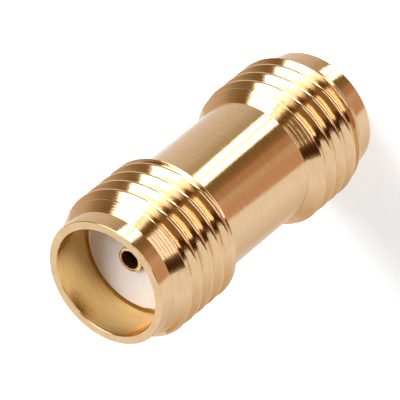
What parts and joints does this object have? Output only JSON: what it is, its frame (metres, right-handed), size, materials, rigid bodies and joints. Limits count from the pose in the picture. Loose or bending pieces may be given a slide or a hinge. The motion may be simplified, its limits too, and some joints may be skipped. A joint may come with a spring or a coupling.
{
  "type": "sma connector",
  "caption": "Straight coaxial adapter with a threaded jack at both ends, a turned gold-plated shell, white insulators and a slotted spring contact on its axis.",
  "frame": {"origin": "centre of the lower end's rim, on the axis", "axes": "+Z along the axis, from the lower end to the upper end, which is the near end in the picture"},
  "size_m": [0.0064, 0.0064, 0.0143],
  "materials": {
    "gold_shell": "gold plate over turned brass, polished, with fine turning lines",
    "white_insulator": "smooth white fluoropolymer",
    "gold_contact": "gold plate over copper alloy, polished"
  },
  "bodies": {
    "root": {"turned_shell": "gold_shell", "upper_insulator": "white_insulator", "lower_insulator": "white_insulator", "centre_contact": "gold_contact"}
  },
  "joints": []
}
